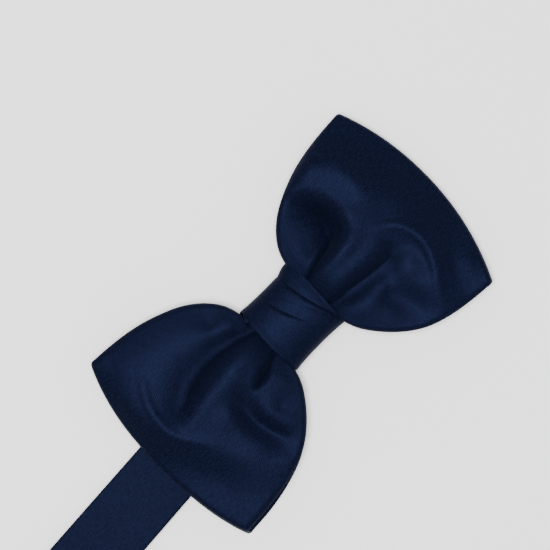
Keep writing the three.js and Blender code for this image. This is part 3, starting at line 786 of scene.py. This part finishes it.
def arched(start, end, lift, count=7):
    """Points of a stitch that comes up at start and goes down at end."""
    a, b = np.array(start, float), np.array(end, float)
    t = np.linspace(0, 1, count)[:, None]
    points = a + (b - a) * t
    points[:, 2] += lift * np.sin(math.pi * t[:, 0]) - 0.05
    return points


def bartack(name, a, z, body, node):
    """A close zigzag of thread across the strap."""
    count = 30
    w = np.linspace(-9.4, 9.4, count)
    places = []
    for i in range(count - 1):
        swing = 0.75 if i % 2 else -0.75
        start = np.array(on_strap(a - swing, w[i], z)) / MM
        end = np.array(on_strap(a + swing, w[i + 1], z)) / MM
        places.append(arched(start, end, 0.18))
    return stitch_row(name, places, 0.13, body, node)


bartack("eye_bartack", -109.0, UPPER_Z + 0.47, "tie", "strap_eye_stitches")
bartack("tail_bartack", -159.5, TAIL_TOP_Z + 0.47, "slider", "strap_tail_stitches")

seam = []
for x in np.arange(-9.4, 9.4, 1.45):
    seam.append(arched((x, KNOT_Y - 5.8, 1.62), (x + 0.6, KNOT_Y - 4.3, 1.62), -0.2))
stitch_row("knot_slip_stitches", seam, 0.14, "tie", "knot_stitches")

# The waist thread is wound round the pleats inside the knot.
turns = 7
steps = 40
WAIST_POWER = 4.0  # how square the winding is
THREAD = 0.2  # radius of the thread
coil = []
waist_low, waist_high = box_mm("waist_thread")
for i in range(turns * steps + 1):
    t = 2 * math.pi * i / steps
    c, s = math.cos(t), math.sin(t)
    size = (abs(c) ** WAIST_POWER + abs(s) ** WAIST_POWER) ** (-1 / WAIST_POWER)
    half_y = (waist_high[1] - waist_low[1]) / 2 - THREAD
    half_z = (waist_high[2] - waist_low[2]) / 2 - THREAD
    x = waist_low[0] + 0.3 + (waist_high[0] - waist_low[0] - 0.6) * i / (turns * steps)
    coil.append((x, KNOT_Y + half_y * size * c, (waist_low[2] + waist_high[2]) / 2 + half_z * size * s))
stitch_row("waist_winding", [coil], THREAD, "tie", "waist_thread")

# ---- Metal pieces: the frame's own solids with rolled edges ----
for node, body in (("clasp_hook", "hook"), ("clasp_eye", "eye"), ("slide_adjuster", "slider")):
    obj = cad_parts[node]
    obj.data.materials.clear()
    obj.data.materials.append(nickel)
    bevel = obj.modifiers.new("rolled_edges", "BEVEL")
    bevel.width = 0.22 * MM
    bevel.segments = 3
    bevel.limit_method = "ANGLE"
    bevel.angle_limit = math.radians(35)

# ---- Floor, light and camera ----


def plain_floor():
    material, _, shader = new_material("pale_floor")
    set_inputs(shader, Roughness=0.9)
    shader.inputs["Base Color"].default_value = (0.9, 0.9, 0.9, 1)
    size = 3000
    corners = [(-size, -size, 0), (size, -size, 0), (size, size, 0), (-size, size, 0)]
    floor = new_object("floor", corners, [[0, 1, 2, 3]], material, smooth=False)


plain_floor()

world = bpy.data.worlds.new("soft_room")
bpy.context.scene.world = world
world.use_nodes = True
world.node_tree.nodes["Background"].inputs["Color"].default_value = (1, 1, 1, 1)
world.node_tree.nodes["Background"].inputs["Strength"].default_value = 0.82


def softbox(name, azimuth, elevation, distance, size, power):
    light = bpy.data.lights.new(name, "AREA")
    light.shape = "RECTANGLE"
    light.size, light.size_y = size
    light.energy = power
    obj = bpy.data.objects.new(name, light)
    a, e = math.radians(azimuth), math.radians(elevation)
    direction = Vector((math.cos(a) * math.cos(e), math.sin(a) * math.cos(e), math.sin(e)))
    obj.location = direction * distance
    obj.rotation_euler = (-direction).to_track_quat("-Z", "Y").to_euler()
    bpy.context.scene.collection.objects.link(obj)


# Azimuths are from +X towards +Y. The picture's upper left is +Y.
softbox("overhead", 150, 86, 1.4, (0.45, 0.45), 37.0)

CAMERA_ROLL = -45.29
VIEW_CENTRE = (5.85, 13.5, 6.0)
VIEW_SPAN = 170.3
LENS = 200.0
SENSOR = 36.0

camera_data = bpy.data.cameras.new("camera")
camera_data.lens = LENS
camera_data.sensor_width = SENSOR
camera_data.clip_end = 10
camera = bpy.data.objects.new("camera", camera_data)
distance = VIEW_SPAN * LENS / SENSOR
camera.location = Vector((VIEW_CENTRE[0], VIEW_CENTRE[1], VIEW_CENTRE[2] + distance)) * MM
camera.rotation_euler = (0, 0, math.radians(CAMERA_ROLL))
bpy.context.scene.collection.objects.link(camera)
bpy.context.scene.camera = camera
